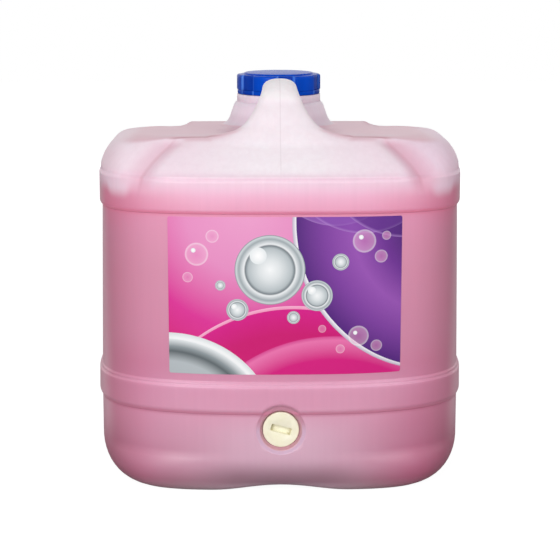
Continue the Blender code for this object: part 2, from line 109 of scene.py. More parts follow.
SPINE_HALF_WIDTH = 79.0 * MM
SPINE_EDGE = 9.0 * MM
SPINE_FALL = 0.0305
PAD_FALL = 0.0530
GROOVE_ANGLE = math.radians(43.3)
GROOVE_DEPTH = 3.5 * MM
RECESS_DEPTH = 11.0 * MM
RECESS_HALF_WIDTH = 52.0 * MM
POWERS_BASE = (5.4, 3.9)
POWERS_LOW = (2.5, 4.0)
POWERS_TOP = (3.3, 5.0)
POWERS_DECK = (5.5, 5.5)
POWERS_MIDDLE = (2.0, 2.0)

NECK_Y = 42.0 * MM
NECK_RADIUS = 28.0 * MM
COLLAR_FOOT = 293.2 * MM
COLLAR_RADIUS = 35.2 * MM
BUNG_HEIGHT = 52.3 * MM
BOSS_END = 107.9 * MM
BOSS_RADIUS = 21.2 * MM
FILL_HEIGHT = 240.0 * MM
BORE_RADIUS = 10.9 * MM
BODY_END = 145 * MM         # in front of everything, for forms that cut through the front wall
NECK_FOOT = (0, NECK_Y, 0)
BUNG_PLACE = (0, 0, BUNG_HEIGHT)
THREAD_START = 0.017        # radians, which keeps the ridges' points off the tubes' own
CAP_PITCH = 5.5 * MM
BUNG_PITCH = 3.0 * MM

HANDLE_FRONT_Y = -86.0 * MM
HANDLE_SPAN = NECK_Y - COLLAR_RADIUS - HANDLE_FRONT_Y
HANDLE_THICKNESS = 18.5 * MM
HANDLE_HALF_WIDTH = 14.0 * MM
HANDLE_CLIMB = 32.65 * MM
HANDLE_DECK = 275.4 * MM


def step(low, high, value):
    """A smooth step from 0 at low to 1 at high."""
    t = np.clip((np.asarray(value, float) - low) / (high - low), 0, 1)
    return t * t * (3 - 2 * t)


def mix(start, end, share):
    return start + (end - start) * share


def halve(is_inside, low, high, steps=36):
    """The value between low and high where is_inside turns false, at every point at once."""
    for _ in range(steps):
        middle = (low + high) / 2
        inside = is_inside(middle)
        low = np.where(inside, middle, low)
        high = np.where(inside, high, middle)
    return (low + high) / 2


def folded(x, y):
    """The angle from the front or the rear, from 0 in the middle of those faces to 90 degrees at the sides."""
    return np.arctan2(np.abs(x), np.abs(y) + 1e-9)


def arc_in(up, turn=0.97):
    """How far the shoulder has come in, as a share, on a nearly full quarter of a circle."""
    return (1 - np.sqrt(1 - (turn * up) ** 2)) / (1 - math.sqrt(1 - turn ** 2))


def top_section(stage):
    """Half sizes and powers over the shoulder (stage 0 to 1) and the deck (1 to 2)."""
    up = np.clip(stage, 0, 1)
    share = 1 - np.clip(stage - 1, 0, 1)
    half_x = (HALF_WIDTH - SHOULDER_IN_X * arc_in(up)) * share
    half_y = (HALF_DEPTH - SHOULDER_IN_Y * up ** 1.1) * share
    powers = [
        np.where(stage < 1, mix(POWERS_TOP[i], POWERS_DECK[i], up), mix(POWERS_MIDDLE[i], POWERS_DECK[i], share))
        for i in range(2)
    ]
    return half_x, half_y, powers


def wall_section(height):
    """Half sizes and powers of the wall, which widens a little towards the lower band."""
    low = 1 - np.clip((height - LOWER_BAND_FOOT) / (UPPER_BAND_FOOT - LOWER_BAND_FOOT), 0, 1)
    powers = [mix(POWERS_TOP[i], POWERS_LOW[i], low) for i in range(2)]
    return HALF_WIDTH + SPREAD_X * low, HALF_DEPTH + SPREAD_Y * low, powers


def channel(x):
    """How high the base is arched over the gap between the two feet."""
    return np.where(np.abs(x) < CHANNEL_HALF_WIDTH,
                    CHANNEL_RISE * (0.5 + 0.5 * np.cos(np.pi * x / CHANNEL_HALF_WIDTH)), 0)


def recess(x, y):
    """Finger room sunk in the deck below the handle."""
    front = HANDLE_FRONT_Y + HANDLE_THICKNESS
    rear = NECK_Y - 45 * MM
    along = np.clip((y - (front + rear) / 2) / ((rear - front) / 2), -1, 1)
    across = np.clip(x / RECESS_HALF_WIDTH, -1, 1)
    return RECESS_DEPTH * np.cos(along * np.pi / 2) ** 1.2 * np.cos(across * np.pi / 2) ** 1.3


def top_height(x, y, stage):
    """Height of the shoulder and the deck where the stage is known."""
    up = np.clip(stage, 0, 1)
    inward = np.clip(stage - 1, 0, 1) * DECK_HALF_DEPTH
    pad = step(SPINE_HALF_WIDTH - SPINE_EDGE / 2, SPINE_HALF_WIDTH + SPINE_EDGE / 2, np.abs(x))
    fall = mix(SPINE_FALL, PAD_FALL, pad) * (y + DECK_HALF_DEPTH) * up ** 3
    short = np.where(stage < 1, SHOULDER_RISE * (1 - up), inward * SHOULDER_RISE / SHOULDER_IN_Y)
    edge = mix(EDGE_ROUND, SIDE_EDGE_ROUND, step(GROOVE_ANGLE, GROOVE_ANGLE + math.radians(14), folded(x, y)))
    rounding = edge / 4 * np.clip(1 - short / edge, 0, 1) ** 2
    return SHOULDER_FOOT + SHOULDER_RISE * up - fall - rounding - recess(x, y) * step(1.0, 1.2, stage)


def stage_at(x, y):
    """How far over the shoulder and the deck the point above (x, y) lies, from 0 to 2."""
    def beyond(stage):
        half_x, half_y, powers = top_section(stage)
        return (np.abs(x) / (half_x + 1e-9)) ** powers[0] + (np.abs(y) / (half_y + 1e-9)) ** powers[1] < 1
    return halve(beyond, np.zeros_like(x), np.full_like(x, 1.999))


def groove(angle, stage):
    """Depth of the corner groove: a fine line in a wide soft valley, fading at both ends."""
    off = np.degrees(folded(np.sin(angle), np.cos(angle)) - GROOVE_ANGLE)
    across = 0.92 * np.exp(-(off / np.where(off > 0, 4.2, 3.5)) ** 2) + 0.08 * np.exp(-(off / 1.0) ** 2)
    along = step(-0.60, 0.05, stage) * (1 - step(0.80, 1.04, stage))
    return GROOVE_DEPTH * across * along


def band_share(height, foot, nose, steps):
    """How much of a band there is at a height: a crease at its foot, a round nose above it, and steps at its top."""
    out = 1 - (1 - np.clip((height - foot) / nose, 0, 1)) ** 1.7
    return out - sum(share * step(low * MM, high * MM, height) for low, high, share in steps)


def band_out(height, angle):
    """How far the two raised bands stand out of the wall. The upper one fades where the pads begin."""
    lower = band_share(height, LOWER_BAND_FOOT, LOWER_BAND_NOSE, LOWER_BAND_STEPS)
    stepped, faded = [
        band_share(height, UPPER_BAND_FOOT, UPPER_BAND_NOSE, steps) for steps in (UPPER_BAND_STEPS, UPPER_BAND_FADE)
    ]
    from_groove = GROOVE_ANGLE - folded(np.sin(angle), np.cos(angle))
    on_face = step(math.radians(1), math.radians(7), from_groove)
    return LOWER_BAND_OUT * lower + UPPER_BAND_OUT * mix(faded, stepped, on_face)


def ring_angles(wide, fine):
    """Angles round the drum from the front, in degrees apart, closer together in the corner grooves."""
    corner = math.degrees(GROOVE_ANGLE)
    quarter = spaced((0, wide), (corner - 5, fine), (corner - 1, fine / 2), (corner, fine / 2),
                     (corner + 1, fine), (corner + 7, wide), (90, 0))
    half = quarter + [180 - a for a in quarter[-2::-1]]
    return np.radians(half + [360 - a for a in half[-2:0:-1]])


def spaced(*stops):
    """Values that run through (value, step to the next stop) pairs."""
    values = []
    for (low, gap), (high, _) in zip(stops, stops[1:]):
        count = max(1, round(abs(high - low) / gap))
        values += [low + (high - low) * i / count for i in range(count)]
    return values + [stops[-1][0]]


def drum_grid(angles, heights, stages, inset=0.0):
    """Points of the blown wall in rows from the middle of the base, up the wall and over to the middle of the deck."""
    def section(half_x, half_y, powers):
        across, along = np.abs(np.sin(angles)) / half_x, np.abs(np.cos(angles)) / half_y
        inside = lambda r: (across * r) ** powers[0] + (along * r) ** powers[1] < 1
        return halve(inside, np.zeros_like(angles), np.full_like(angles, half_x + half_y))

    rows = []
    foot_x, foot_y = HALF_WIDTH + SPREAD_X - BASE_ROUND_X, HALF_DEPTH + SPREAD_Y - BASE_ROUND_Y
    for share in spaced((0.06, 0.11), (1.0, 0)):
        radius = section(foot_x * share, foot_y * share, POWERS_BASE)
        x, y = radius * np.sin(angles), -radius * np.cos(angles)
        rows.append((x, y, inset + channel(x)))
    for turn in spaced((7, 7), (84, 0)):
        rise = 1 - math.cos(math.radians(turn))
        out = math.sin(math.radians(turn))
        low_powers = [mix(POWERS_BASE[i], POWERS_LOW[i], rise) for i in range(2)]
        radius = section(foot_x + BASE_ROUND_X * out - inset * out, foot_y + BASE_ROUND_Y * out - inset * out,
                         low_powers)
        x, y = radius * np.sin(angles), -radius * np.cos(angles)
        rows.append((x, y, BASE_HEIGHT * rise + inset * (1 - out) + channel(x) * (1 - rise) ** 2))
    for height in heights:
        radius = section(*wall_section(height))
        radius += band_out(height, angles) - inset - groove(angles, (height - SHOULDER_FOOT) / SHOULDER_RISE)
        rows.append((radius * np.sin(angles), -radius * np.cos(angles), np.full_like(angles, height)))
    for stage in stages:
        half_x, half_y, powers = top_section(np.float64(stage))
        height = SHOULDER_FOOT + SHOULDER_RISE * min(stage, 1)
        radius = section(half_x, half_y, powers) - groove(angles, stage)
        radius += band_out(height, angles) - inset * (1 - min(stage, 1))
        x, y = radius * np.sin(angles), -radius * np.cos(angles)
        z = top_height(x, y, stage) - 0.5 * groove(angles, stage) - inset * min(stage, 1)
        rows.append((x, y, z))
    return np.array(rows).transpose(0, 2, 1)


def grid_faces(rows, columns):
    """Quads between neighbouring rows of a closed ring of columns."""
    faces = []
    for row in range(rows - 1):
        for column in range(columns):
            after = (column + 1) % columns
            a, b = row * columns, (row + 1) * columns
            faces.append((a + column, a + after, b + after, b + column))
    return faces


def end_faces(count, size):
    """The faces that close a tube of points at its first ring and at its last."""
    return [tuple(range(size))[::-1], tuple(range(count - size, count))]


def smooth_min(a, b, width):
    """The lower of two forms, with the valley between them filled to a round of about that width."""
    gap = np.clip(width - np.abs(a - b), 0, None) / width
    return np.minimum(a, b) - gap * gap * width / 4


HANDLE_STATIONS = [     # share of the span, share of the climb, and what the half width gains in millimetres
    (0.00, -0.60, 26.0), (0.04, -0.25, 26.0), (0.08, -0.04, 25.8), (0.13, 0.19, 16.8), (0.20, 0.48, 8.7),
    (0.30, 0.77, 3.2), (0.42, 0.93, 0.8), (0.54, 1.00, 0.0), (0.66, 0.98, 0.0), (0.776, 0.85, 0.0),
    (0.857, 0.64, 0.8), (0.916, 0.40, 1.4), (0.970, 0.15, 2.2), (1.00, -0.10, 3.0),
]


def through(points, per_gap=6):
    """A smooth line through points, as a Catmull-Rom curve."""
    points = np.array(points, float)
    padded = np.vstack([2 * points[0] - points[1], points, 2 * points[-1] - points[-2]])
    line = []
    for p0, p1, p2, p3 in zip(padded, padded[1:], padded[2:], padded[3:]):
        for i in range(per_gap):
            t = i / per_gap
            line.append(0.5 * (2 * p1 + (p2 - p0) * t + (2 * p0 - 5 * p1 + 4 * p2 - p3) * t ** 2
                               + (3 * p1 - p0 - 3 * p2 + p3) * t ** 3))
    return np.array(line + [points[-1]])


handle_line = through([
    (HANDLE_FRONT_Y + HANDLE_SPAN * along, HANDLE_DECK + HANDLE_CLIMB * up, HANDLE_HALF_WIDTH + wider * MM)
    for along, up, wider in HANDLE_STATIONS
])


def handle_form(x, y, z):
    """Below 0 inside the handle: an oval section swept along a line over the deck."""
    best = np.full_like(x, 1e9)
    form = np.full_like(x, 1e9)
    for (y0, z0, w0), (y1, z1, w1) in zip(handle_line, handle_line[1:]):
        run_y, run_z = y1 - y0, z1 - z0
        share = np.clip(((y - y0) * run_y + (z - z0) * run_z) / (run_y ** 2 + run_z ** 2), 0, 1)
        off = np.hypot(y - y0 - share * run_y, z - z0 - share * run_z)
        width = mix(w0, w1, share)
        half = HANDLE_THICKNESS / 2
        oval = ((np.abs(x) / width) ** 2.4 + (off / half) ** 2.4) ** (1 / 2.4)
        nearer = off < best
        best = np.where(nearer, off, best)
        form = np.where(nearer, (oval - 1) * half, form)
    return form


def flare_form(x, y, z):
    """Below 0 inside the neck's foot: a steep cone with a rounded top."""
    radius = np.hypot(x, y - NECK_Y)
    side = (radius - mix(38.2 * MM, 41.7 * MM, (289 * MM - z) / (10 * MM))) * 0.96
    return -smooth_min(-side, -(z - (COLLAR_FOOT + 0.8 * MM)), 4.0 * MM)


def top_form(x, y, z, ground):
    """Below 0 inside the deck, the handle and the neck's foot together."""
    deck = (z - ground) * 0.85
    joined = smooth_min(deck, flare_form(x, y, z), 7 * MM)
    return smooth_min(joined, handle_form(x, y, z), 8 * MM)


def surface_of(form, low, high, gap):
    """Quads on the surface where a form is 0, one point in each grid cell that the surface crosses."""
    axes = [np.arange(a, b + gap, gap) for a, b in zip(low, high)]
    x, y, z = np.meshgrid(*axes, indexing='ij')
    field = form(x, y, z)
    cells = tuple(n - 1 for n in field.shape)
    corners = {
        (i, j, k): field[i:cells[0] + i, j:cells[1] + j, k:cells[2] + k]
        for i in (0, 1) for j in (0, 1) for k in (0, 1)
    }
    total, hits = np.zeros(cells + (3,)), np.zeros(cells)
    for start in corners:
        for axis in range(3):
            if start[axis] == 1:
                continue
            end = tuple(1 if n == axis else v for n, v in enumerate(start))
            a, b = corners[start], corners[end]
            crossed = (a < 0) != (b < 0)
            share = np.where(crossed, a / np.where(crossed, a - b, 1), 0)
            for n in range(3):
                total[..., n] += crossed * (start[n] + (share if n == axis else 0))
            hits += crossed
    active = hits > 0
    number = np.full(cells, -1)
    number[active] = np.arange(active.sum())
    place = np.argwhere(active) + total[active] / hits[active][:, None]
    points = np.array(low) + place * gap
    faces = []
    for axis in range(3):
        side_a, side_b = [n for n in range(3) if n != axis]
        inner = [slice(1, -1)] * 3
        inner[axis] = slice(0, -1)
        ahead = list(inner)
        ahead[axis] = slice(1, None)
        now, then = field[tuple(inner)] < 0, field[tuple(ahead)] < 0
        for flip in (True, False):
            edges = np.argwhere(now & ~then if flip else ~now & then)
            edges[:, side_a] += 1
            edges[:, side_b] += 1
            around = []
            for da, db in ((1, 1), (0, 1), (0, 0), (1, 0)):
                cell = edges.copy()
                cell[:, side_a] -= da
                cell[:, side_b] -= db
                around.append(number[tuple(cell.T)])
            quads = np.stack(around, axis=1)
            turned = flip if axis != 1 else not flip
            faces.append(quads if turned else quads[:, ::-1])
    return points, np.concatenate(faces)


def settle(points, form, rounds=3, reach=0.2 * MM):
    """Moves points onto the surface where the form is 0."""
    for _ in range(rounds):
        here = form(*points.T)
        slope = np.stack([
            (form(*(points + reach * np.eye(3)[n]).T) - here) / reach for n in range(3)
        ], axis=1)
        points = points - slope * (here / np.maximum((slope ** 2).sum(1), 0.05))[:, None]
    return points


def border(faces):
    """The longest loop of edges that belong to one face only, in order."""
    owned = {edge for face in faces for edge in zip(face, face[1:] + face[:1])}
    after = {a: b for a, b in owned if (b, a) not in owned}
    loops = []
    while after:
        loop = [next(iter(after))]
        while loop[-1] in after:
            loop.append(after.pop(loop[-1]))
        loops.append(loop[:-1])
    return max(loops, key=len)


def within(points, loop):
    """Which points lie inside a closed plane loop."""
    x, y = points[:, 0], points[:, 1]
    odd = np.zeros(len(points), bool)
    for (x0, y0), (x1, y1) in zip(loop, np.roll(loop, -1, axis=0)):
        if y0 == y1:
            continue
        odd ^= ((y0 > y) != (y1 > y)) & (x < (x1 - x0) * (y - y0) / (y1 - y0) + x0)
    return odd


def strip_between(points, outer, inner):
    """Triangles that fill the gap between two loops, seen from above."""
    ids = outer + inner
    flat = points[ids][:, :2]
    ring = lambda start, count: [(start + i, start + (i + 1) % count) for i in range(count)]
    edges = ring(0, len(outer)) + ring(len(outer), len(inner))
    made = geometry.delaunay_2d_cdt([Vector(p) for p in flat], edges, [], 0, 1e-7)
    names = [ids[origin[0]] for origin in made[3]]
    triangles = np.array([[names[i] for i in face] for face in made[2]])
    middles = points[triangles][:, :, :2].mean(axis=1)
    kept = within(middles, points[outer][:, :2]) & ~within(middles, points[inner][:, :2])
    return [tuple(t) for t in triangles[kept].tolist()]


PATCH_MIDDLE_Y = -4.5 * MM
PATCH_HALF = (60.0 * MM, 101.5 * MM)
PATCH_GAP = 1.25 * MM


def in_patch(points, shrink=0.0):
    """Whether points lie in the middle region of the top, round the handle and the neck."""
    x = np.abs(points[:, 0]) / (PATCH_HALF[0] - shrink)
    y = np.abs(points[:, 1] - PATCH_MIDDLE_Y) / (PATCH_HALF[1] - shrink)
    return (x ** 5 + y ** 5 < 1) & (points[:, 2] > 255 * MM)


def blown_skin():
    """The drum's outside: rings round the wall, and a finer patch round the handle and the neck, joined.

    The rings stand closer together at the bands' edges, at the foot of the shoulder and at the edge of the deck.
    """
    angles = ring_angles(1.6, 0.8)
    heights = spaced((32 * MM, 3.6 * MM), (64.3 * MM, 0.6 * MM), (70.3 * MM, 4 * MM), (86.3 * MM, 0.6 * MM),
                     (93.5 * MM, 5.5 * MM), (221.2 * MM, 0.6 * MM), (226.6 * MM, 2 * MM), (245 * MM, 0.6 * MM),
                     (246.8 * MM, 0.33 * MM), (249.7 * MM, 0))
    stages = spaced((0.0, 0.012), (0.06, 0.02), (0.12, 0.045), (0.84, 0.025), (1.06, 0.05), (1.95, 0))
    grid = drum_grid(angles, heights, stages)
    rows, columns = grid.shape[:2]
    points = grid.reshape(-1, 3)
    faces = np.array(grid_faces(rows, columns))
    cut = in_patch(points)
    faces = faces[~cut[faces].any(axis=1)]

    def form(x, y, z):
        flat_x, flat_y = (x[:, :, :1], y[:, :, :1]) if x.ndim == 3 else (x, y)
        return top_form(x, y, z, top_height(flat_x, flat_y, stage_at(flat_x, flat_y)))

    low = (-PATCH_HALF[0] - 3 * MM, PATCH_MIDDLE_Y - PATCH_HALF[1] - 3 * MM, 252 * MM)
    high = (PATCH_HALF[0] + 3 * MM, PATCH_MIDDLE_Y + PATCH_HALF[1] + 3 * MM, 319 * MM)
    patch_points, patch_faces = surface_of(form, low, high, PATCH_GAP)
    patch_points = settle(patch_points, form)
    kept = in_patch(patch_points, 1.3 * MM)
    patch_faces = patch_faces[kept[patch_faces].all(axis=1)]

    points = np.concatenate([points, patch_points])
    wall_faces = [tuple(f) for f in faces.tolist()]
    patch_faces = [tuple(f) for f in (patch_faces + rows * columns).tolist()]
    strip = strip_between(points, border(wall_faces)[::-1], border(patch_faces))
    base = tuple(range(columns))[::-1]
    return points, [base] + wall_faces + patch_faces + strip


def smooth(mesh, sharp_deg):
    """Smooth shading, with sharp edges above an angle."""
    mesh.shade_smooth()
    mesh.set_sharp_from_angle(angle=math.radians(sharp_deg))


def object_of(name, points, faces, sharp_deg=180):
    """An object from points and faces, with loose points dropped, normals out and smooth shading."""
    work = bmesh.new()
    verts = [work.verts.new(p) for p in points]
    for face in faces:
        work.faces.new([verts[i] for i in face])
    bmesh.ops.delete(work, geom=[v for v in work.verts if not v.link_faces], context='VERTS')
    bmesh.ops.recalc_face_normals(work, faces=work.faces)
    mesh = bpy.data.meshes.new(name)
    work.to_mesh(mesh)
    work.free()
    smooth(mesh, sharp_deg)
    made = bpy.data.objects.new(name, mesh)
    bpy.context.scene.collection.objects.link(made)
    return made


def turned(outline, steps, axis='Z', centre=(0, 0, 0), closed=False):
    """Points and faces of an outline of (radius, height) turned round Z, or round -Y for the bung.

    An open outline gets flat ends. A closed one runs on from its last point to its first.
    """
    points = []
    for radius, height in outline:
        for i in range(steps):
            turn = math.tau * i / steps
            x, y = radius * math.sin(turn), -radius * math.cos(turn)
            local = (x, y, height) if axis == 'Z' else (x, -height, -y)
            points.append(tuple(a + b for a, b in zip(local, centre)))
    faces = grid_faces(len(outline), steps)
    if closed:
        last = len(points) - steps
        return points, faces + [(last + i, last + (i + 1) % steps, (i + 1) % steps, i) for i in range(steps)]
    return points, faces + end_faces(len(points), steps)


def join(target, tool, operation):
    """Applies an exact Boolean with a tool, which is then removed."""
    change = target.modifiers.new("cut", 'BOOLEAN')
    change.operation = operation
    change.solver = 'EXACT'
    change.object = tool
    graph = bpy.context.evaluated_depsgraph_get()
    done = bpy.data.meshes.new_from_object(target.evaluated_get(graph))
    target.modifiers.clear()
    target.data = done
    bpy.data.meshes.remove(tool.data)


def thread(radius, depth, pitch, low, turns, centre_y=0.0, steps=64, taper=0.4):
    """A screw thread: a ridge of half-round section wound round a tube, fading at both ends."""
    points = []
    count = round(turns * steps)
    section = [(-0.5, -0.6), (-0.34, 0.35), (-0.16, 0.9), (0.16, 0.9), (0.34, 0.35), (0.5, -0.6)]
    for i in range(count + 1):
        turn = math.tau * i / steps + THREAD_START
        fade = min(1, i / (taper * steps), (count - i) / (taper * steps))
        for along, out in section:
            r = radius + depth * (out if out < 0 else mix(-0.5, out, fade))
            z = low + pitch * i / steps + along * pitch * 0.62
            points.append((r * math.sin(turn), -r * math.cos(turn) + centre_y, z))
    return points, grid_faces(count + 1, len(section)) + end_faces(len(points), len(section))


def ribbed(points, centre_y, radius, ribs, depth):
    """Presses shallow upright ribs into the points that lie at a radius."""
    out = []
    for x, y, z in points:
        turn = math.atan2(x, centre_y - y)
        if abs(math.hypot(x, y - centre_y) - radius) < 0.01 * MM:
            r = radius - depth * (0.5 + 0.5 * math.cos(ribs * turn))
            x, y = r * math.sin(turn), centre_y - r * math.cos(turn)
        out.append((x, y, z))
    return out


def in_mm(outline):
    """An outline's points in metres."""
    return [(r * MM, h * MM) for r, h in outline]


NECK_OUTLINE = in_mm([
    (31, 283), (33.5, 290), (34.8, 293.2), (35.1, 293.6), (35.1, 299.1), (34.7, 299.6), (28.5, 299.6),
    (28.0, 300.1), (28.0, 312.6), (27.7, 313.1), (27.2, 313.3),
])
NECK_HOLLOW = in_mm([
    (33, 262), (38, 272), (37, 282), (32, 289), (25.5, 291.5), (24.5, 293.5), (24.5, 312.9),
    (24.9, 313.3), (24.9, 325),
])
WELL_OUTLINE = in_mm([
    (14.5, 118.0), (14.5, 121.7), (14.7, 122.1), (15.2, 122.35), (15.5, 122.7), (15.65, 124.2), (15.9, 125.1),
    (16.3, 125.55), (16.9, 125.7), (18.6, 125.75), (18.9, 125.85), (19.6, 126.25), (20.0, 126.9), (20.5, 127.6),
    (21.4, 128.3), (23.0, 128.75), (26, 129.0), (26, 145),
])


def filling(name, inset, top, stages=()):
    """A coarser closed form inside the wall, up to a height and then over the given stages."""
    heights = spaced((32 * MM, 11 * MM), (66 * MM, 5 * MM), (96 * MM, 26 * MM), (222 * MM, 5 * MM), (top, 0))
    rows = drum_grid(ring_angles(6, 3), heights, stages, inset)
    count, columns = rows.shape[:2]
    return object_of(name, rows.reshape(-1, 3), end_faces(count * columns, columns) + grid_faces(count, columns))


def blown_drum():
    """The skin with its neck and its well, less one form for the hollow inside."""
    body = object_of("drum_shell", *blown_skin())
    points, faces = turned(NECK_OUTLINE, 192, centre=NECK_FOOT)
    join(body, object_of("neck", ribbed(points, NECK_Y, 35.1 * MM, 48, 0.35 * MM), faces), 'UNION')
    join(body, object_of("ridge", *thread(NECK_RADIUS, 1.6 * MM, CAP_PITCH, 305.3 * MM, 1.1, NECK_Y)), 'UNION')
    join(body, object_of("well", *turned(WELL_OUTLINE, 144, '-Y', BUNG_PLACE)), 'DIFFERENCE')

    hollow = filling("hollow", WALL, 249.7 * MM, spaced((0, 0.2), (1, 0.15), (1.95, 0)))
    boss = [(BOSS_RADIUS, BOSS_END), (BOSS_RADIUS, BODY_END)]
    join(hollow, object_of("boss", *turned(boss, 96, '-Y', BUNG_PLACE)), 'DIFFERENCE')
    bore = [(BORE_RADIUS, 98 * MM), (BORE_RADIUS, 119 * MM)]
    join(hollow, object_of("bore", *turned(bore, 96, '-Y', BUNG_PLACE)), 'UNION')
    join(hollow, object_of("throat", *turned(NECK_HOLLOW, 96, centre=NECK_FOOT)), 'UNION')
    join(body, hollow, 'DIFFERENCE')
    smooth(body.data, 38)
    return body


def linear(hex_colour):
    """A shader colour from an sRGB hex string."""
    parts = [int(hex_colour[i:i + 2], 16) / 255 for i in (0, 2, 4)]
    return tuple(c / 12.92 if c <= 0.04045 else ((c + 0.055) / 1.055) ** 2.4 for c in parts) + (1,)


def plug(tree, node, inputs):
    """Gives a node's inputs their values, or links from an output or from the first output of a node."""
    for name, value in inputs.items():
        if isinstance(value, bpy.types.Node):
            value = value.outputs[0]
        if isinstance(value, bpy.types.NodeSocket):
            tree.links.new(value, node.inputs[name])
        else:
            node.inputs[name].default_value = value


def add(tree, kind, inputs={}, stops=None, **settings):
    """Adds a shader node, with its settings and its inputs, and a ramp's stops as (place, hex colour)."""
    made = tree.nodes.new("ShaderNode" + kind)
    for name, value in settings.items():
        setattr(made, name, value)
    plug(tree, made, inputs)
    if stops:
        ramp = made.color_ramp.elements
        ramp[0].position, ramp[1].position = stops[0][0], stops[-1][0]
        for place, _ in stops[1:-1]:
            ramp.new(place)
        for element, (_, colour) in zip(ramp, stops):
            element.color = linear(colour)
    return made


def new_material(name):
    """A material, its node tree, its shader and the place on the object in metres."""
    material = bpy.data.materials.new(name)
    material.use_nodes = True
    tree = material.node_tree
    return material, tree, tree.nodes["Principled BSDF"], add(tree, "TexCoord").outputs["Object"]


def own(piece, body, node, material):
    """Gives a piece its body, the CAD node that it replaces and its material."""
    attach(piece, body)
    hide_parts(node)
    piece.data.materials.clear()
    piece.data.materials.append(material)


def tinted(tree, colour, *tints):
    """Lays tints over a colour, one after another.

    A tint is a colour, a share, and (value, start, full) ranges: the share grows from where the value is at the
    start of the range to where the range is full.
    """
    for tint, share, *ranges in tints:
        for value, start, full in ranges:
            grown = add(tree, "MapRange", {"Value": value, "From Min": start, "From Max": full},
                        interpolation_type='SMOOTHSTEP')
            share = add(tree, "Math", {0: share, 1: grown}, operation='MULTIPLY')
        tint = linear(tint) if isinstance(tint, str) else tint
        colour = add(tree, "Mix", {0: share, 6: colour, 7: tint}, data_type='RGBA').outputs[2]
    return colour


